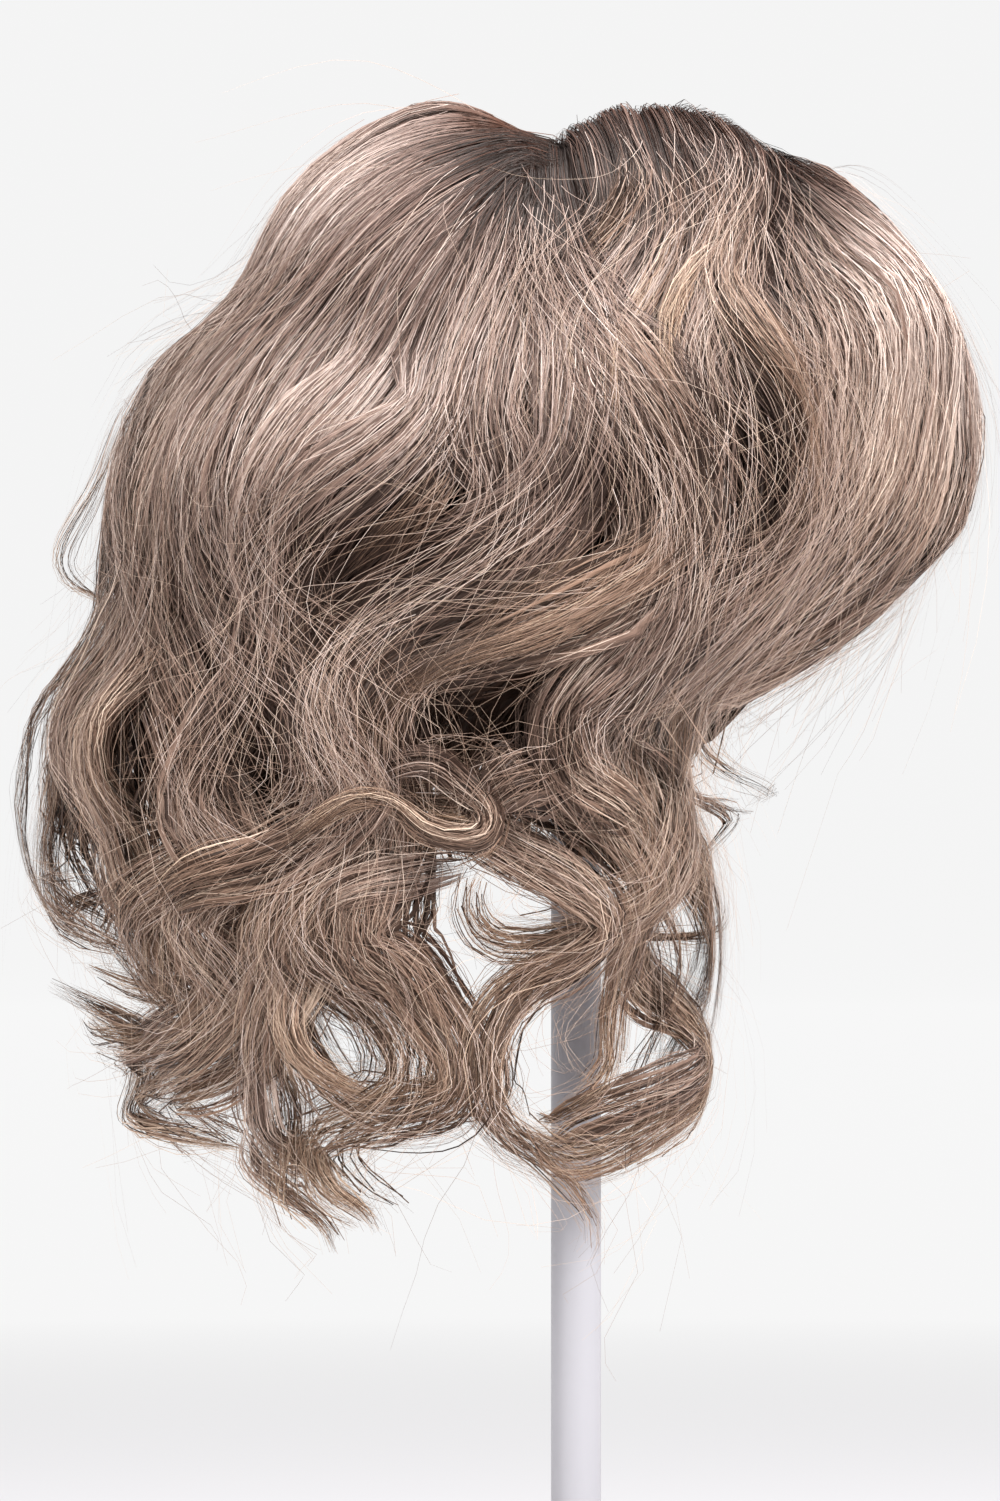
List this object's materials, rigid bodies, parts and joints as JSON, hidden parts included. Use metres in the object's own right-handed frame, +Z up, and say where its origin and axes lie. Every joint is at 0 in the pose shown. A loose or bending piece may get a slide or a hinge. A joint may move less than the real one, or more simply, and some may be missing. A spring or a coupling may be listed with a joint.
{
  "type": "hair topper on a display stand",
  "caption": "Wavy ash-blond hair topper: long curled locks with a side parting on a small net cap with snap clips, resting on a plain white round stand.",
  "frame": {"origin": "middle of the underside of the stand's foot", "axes": "+Z up along the pole, -Y towards the front of the hair, +X to the right in the front view"},
  "size_m": [0.3122, 0.2471, 0.5127],
  "materials": {
    "hair": "satin strands, ash blond with darker roots",
    "cap_net": "matt net",
    "clip_metal": "dark satin",
    "stand_white": "matt white"
  },
  "bodies": {
    "root": {"hair": "hair", "cap_base": "cap_net", "clip_front": "clip_metal", "clip_back": "clip_metal", "clip_left": "clip_metal", "clip_right": "clip_metal", "stand_top": "stand_white", "stand_pole": "stand_white", "stand_base": "stand_white"}
  },
  "joints": []
}
